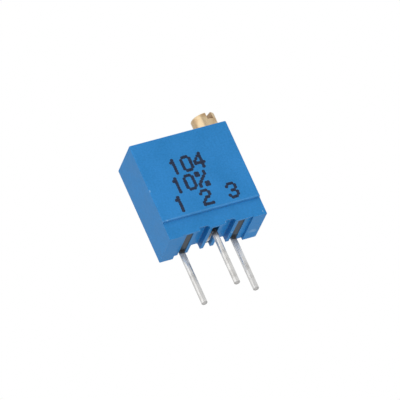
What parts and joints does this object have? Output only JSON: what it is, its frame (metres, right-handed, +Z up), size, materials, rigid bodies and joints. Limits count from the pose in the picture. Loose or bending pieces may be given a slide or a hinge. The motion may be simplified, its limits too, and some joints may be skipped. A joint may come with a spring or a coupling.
{
  "type": "trimmer potentiometer",
  "caption": "Square multi-turn trimmer potentiometer with a slotted brass top screw, a worm-driven wiper sealed inside and round pins in a triangle.",
  "frame": {"origin": "on the board that the feet rest on, midway between the two outer pins", "axes": "+X along the row of the outer pins, towards the screw; +Y to the back, where the resin is; +Z up along the adjusting screw"},
  "size_m": [0.0096, 0.0046, 0.0162],
  "materials": {
    "blue_plastic": "satin",
    "brass": "satin",
    "seal_rubber": "matte",
    "spring_steel": "satin",
    "rotor_plastic": "satin",
    "contact_alloy": "satin",
    "alumina": "matte",
    "cermet": "satin",
    "silver_film": "satin",
    "tinned_lead": "satin",
    "solder": "satin",
    "grey_resin": "satin"
  },
  "bodies": {
    "case": {"housing": "blue_plastic", "ceramic_substrate": "alumina", "resistor_track": "cermet", "collector_track": "silver_film", "end_electrode_1": "silver_film", "end_electrode_3": "silver_film", "terminal_pin_1": "tinned_lead", "terminal_pin_2": "tinned_lead", "terminal_pin_3": "tinned_lead", "solder_joint_1": "solder", "solder_joint_2": "solder", "solder_joint_3": "solder", "potting_seal": "grey_resin"},
    "screw": {"adjusting_screw": "brass", "screw_o_ring": "seal_rubber", "retaining_clip": "spring_steel"},
    "rotor": {"rotor_gear": "rotor_plastic", "wiper_spring": "contact_alloy"}
  },
  "joints": [
    {"name": "screw_turn", "type": "hinge", "parent": "case", "child": "screw", "pos_m": [0.00349, -0.00254, 0.0096], "axis": [0, 0, 1], "range_deg": [-4500, 4500]},
    {"name": "rotor_turn", "type": "hinge", "parent": "case", "child": "rotor", "pos_m": [-0.00038, -0.00254, 0.00522], "axis": [0, 1, 0], "range_deg": [-141, 141]}
  ],
  "couplings": [
    {"joint": "rotor_turn", "follows": "screw_turn", "ratio": 0.03125}
  ]
}
